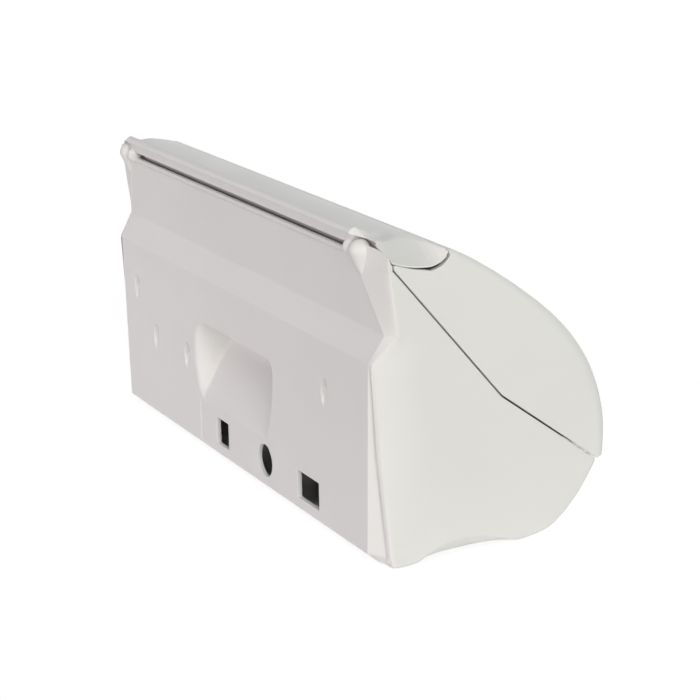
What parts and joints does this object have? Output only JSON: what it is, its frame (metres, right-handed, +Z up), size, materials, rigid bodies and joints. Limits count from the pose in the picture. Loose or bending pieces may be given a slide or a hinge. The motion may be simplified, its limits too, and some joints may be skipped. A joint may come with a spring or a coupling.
{
  "type": "cling film dispenser",
  "caption": "Hinged-lid counter dispenser for rolls of cling film: curved lid with a toothed blade, end hubs for the roll, a film bed, and a rear panel with finger scoop and wall-screw holes.",
  "frame": {"origin": "on the surface the dispenser stands on, under the middle of its bounding box", "axes": "+Z up, +X along the roll, +Y out of the rear panel, so the lid opens from the -Y side"},
  "size_m": [0.375, 0.1461, 0.1871],
  "materials": {
    "shell": "satin injection-moulded off-white plastic, smooth with a very fine grain",
    "inner_plastic": "plain moulded plastic, a little greyer than the shell",
    "hub_plastic": "smooth self-lubricating plastic, light grey",
    "steel": "bright stainless steel",
    "blade_steel": "thin hardened stainless strip",
    "grip_rubber": "soft grey rubber",
    "foot_rubber": "dark grey rubber"
  },
  "bodies": {
    "base": {"base_tray": "shell", "rear_panel": "shell", "upper_panel": "shell", "scoop_shell": "shell", "left_end_cheek": "shell", "right_end_cheek": "shell", "left_hinge_pin": "steel", "right_hinge_pin": "steel", "left_hub_bracket": "inner_plastic", "right_hub_bracket": "inner_plastic", "right_hub_axle": "steel", "right_axle_clip": "steel", "film_bed": "inner_plastic", "rear_grip_strip": "grip_rubber", "front_grip_strip": "grip_rubber", "left_guide_bracket": "inner_plastic", "right_guide_bracket": "inner_plastic", "rear_left_foot": "foot_rubber", "rear_right_foot": "foot_rubber", "front_left_foot": "foot_rubber", "front_right_foot": "foot_rubber", "base_screws": "steel"},
    "lid": {"lid_cover": "shell", "top_bar": "shell", "blade_carrier": "inner_plastic", "cutter_blade": "blade_steel", "blade_clamp": "steel", "press_pad": "grip_rubber", "lid_screws": "steel"},
    "right_hub": {"right_core_hub": "hub_plastic"},
    "left_plunger": {"left_plunger_axle": "steel", "left_axle_clip": "steel", "thrust_washer": "steel", "plunger_spring": "steel"},
    "left_hub": {"left_core_hub": "hub_plastic"},
    "guide": {"guide_roller": "hub_plastic"}
  },
  "joints": [
    {"name": "lid_hinge", "type": "hinge", "parent": "base", "child": "lid", "pos_m": [0, 0.0667, 0.1755], "axis": [-1, 0, 0], "range_deg": [0, 130]},
    {"name": "right_hub_spin", "type": "hinge", "parent": "base", "child": "right_hub", "pos_m": [0.148, 0.011, 0.058], "axis": [1, 0, 0], "continuous": true},
    {"name": "plunger_slide", "type": "slide", "parent": "base", "child": "left_plunger", "axis": [-1, 0, 0], "range_m": [0, 0.0065], "stiffness_N_per_m": 1700, "springref_m": -0.002, "deforming": ["plunger_spring"]},
    {"name": "left_hub_spin", "type": "hinge", "parent": "left_plunger", "child": "left_hub", "pos_m": [-0.148, 0.011, 0.058], "axis": [1, 0, 0], "continuous": true},
    {"name": "guide_roller_spin", "type": "hinge", "parent": "base", "child": "guide", "pos_m": [0, -0.0367, 0.05611], "axis": [1, 0, 0], "continuous": true}
  ]
}
